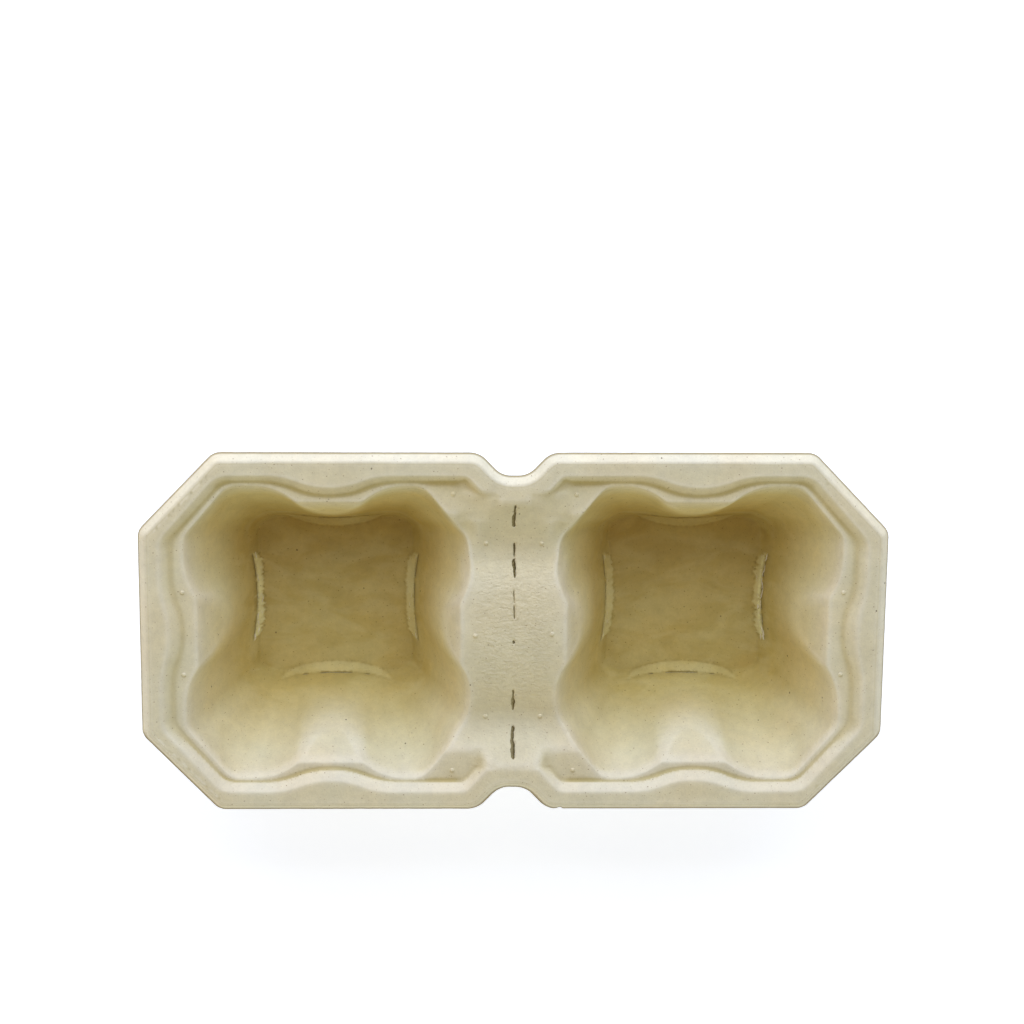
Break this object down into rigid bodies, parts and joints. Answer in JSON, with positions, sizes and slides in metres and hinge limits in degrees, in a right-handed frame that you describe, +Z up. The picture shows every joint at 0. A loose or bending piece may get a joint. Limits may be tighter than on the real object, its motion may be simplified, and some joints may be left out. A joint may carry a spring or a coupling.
{
  "type": "moulded pulp cup carrier",
  "caption": "Shallow moulded-pulp tray with side-by-side tapered, lobed pockets for takeaway cups, an octagonal turned-down rim, a ridged bridge and a slit tear line across its middle.",
  "frame": {"origin": "middle of the footprint, on the plane that the undersides of the pocket floors rest on", "axes": "+X along the length through both pockets, +Y across the width, +Z up out of the open pockets"},
  "size_m": [0.21, 0.105, 0.0433],
  "materials": {
    "pulp": "matte, finely fibrous, cream moulded plant pulp"
  },
  "bodies": {
    "root": {"carrier": "pulp"}
  },
  "joints": []
}
